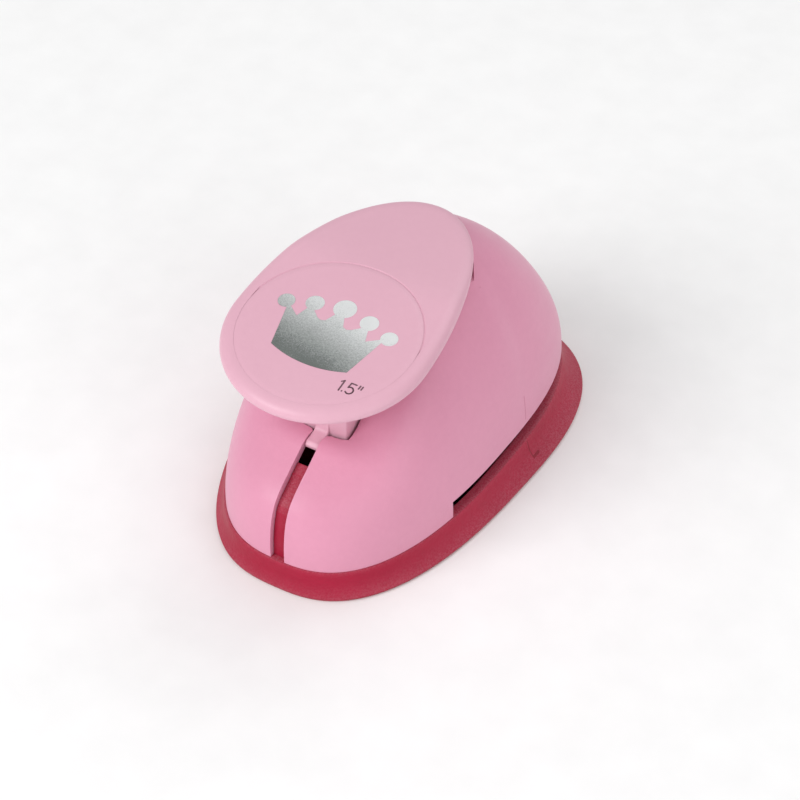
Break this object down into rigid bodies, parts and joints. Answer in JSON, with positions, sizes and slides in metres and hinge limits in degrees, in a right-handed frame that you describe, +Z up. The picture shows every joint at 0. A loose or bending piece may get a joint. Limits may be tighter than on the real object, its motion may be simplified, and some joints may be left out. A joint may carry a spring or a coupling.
{
  "type": "craft punch",
  "caption": "Palm-lever craft punch: a domed housing on a flared base, a broad paddle lever with a crown inlay, and a sprung crown-shaped cutter over a steel die.",
  "frame": {"origin": "on the resting plane, under the middle of the base's bounding box", "axes": "+Z up, -Y towards the front where the paddle overhangs and the slot is, +Y towards the paper throat, +X to the right seen from the front; mirror-symmetric about X = 0"},
  "size_m": [0.0674, 0.1, 0.0546],
  "materials": {
    "base_plastic": "satin",
    "cover_plastic": "satin",
    "lever_plastic": "satin",
    "foil": "brushed",
    "frame_plastic": "satin",
    "head_plastic": "satin",
    "plate_steel": "brushed",
    "cutter_steel": "ground",
    "pin_steel": "polished",
    "spring_steel": "satin",
    "screw_steel": "zinc plated"
  },
  "bodies": {
    "housing": {"base": "base_plastic", "cover": "cover_plastic", "lever_pin": "pin_steel", "pin_clips": "spring_steel", "die_plate": "plate_steel", "spacer_shim": "plate_steel", "guide_plate": "plate_steel", "guide_frame": "frame_plastic", "guide_posts": "pin_steel", "spring_seats": "spring_steel", "spring_left": "spring_steel", "spring_right": "spring_steel", "plate_screws": "screw_steel", "cover_screws": "screw_steel"},
    "lever_arm": {"lever": "lever_plastic", "foil_crown": "foil"},
    "punch": {"punch_cutter": "cutter_steel", "punch_head": "head_plastic", "press_plate": "plate_steel", "head_screws": "screw_steel"}
  },
  "joints": [
    {"name": "lever_hinge", "type": "hinge", "parent": "housing", "child": "lever_arm", "pos_m": [0, 0.02, 0.04], "axis": [1, 0, 0], "range_deg": [0, 13], "stiffness_Nm_per_rad": 0.5, "springref_deg": -17.19},
    {"name": "punch_slide", "type": "slide", "parent": "housing", "child": "punch", "axis": [0, 0, -1], "range_m": [0, 0.00417], "stiffness_N_per_m": 120, "springref_m": -0.012, "deforming": ["spring_left", "spring_right"]}
  ],
  "couplings": [
    {"joint": "lever_hinge", "follows": "punch_slide", "rad_per_m": 54.35}
  ]
}
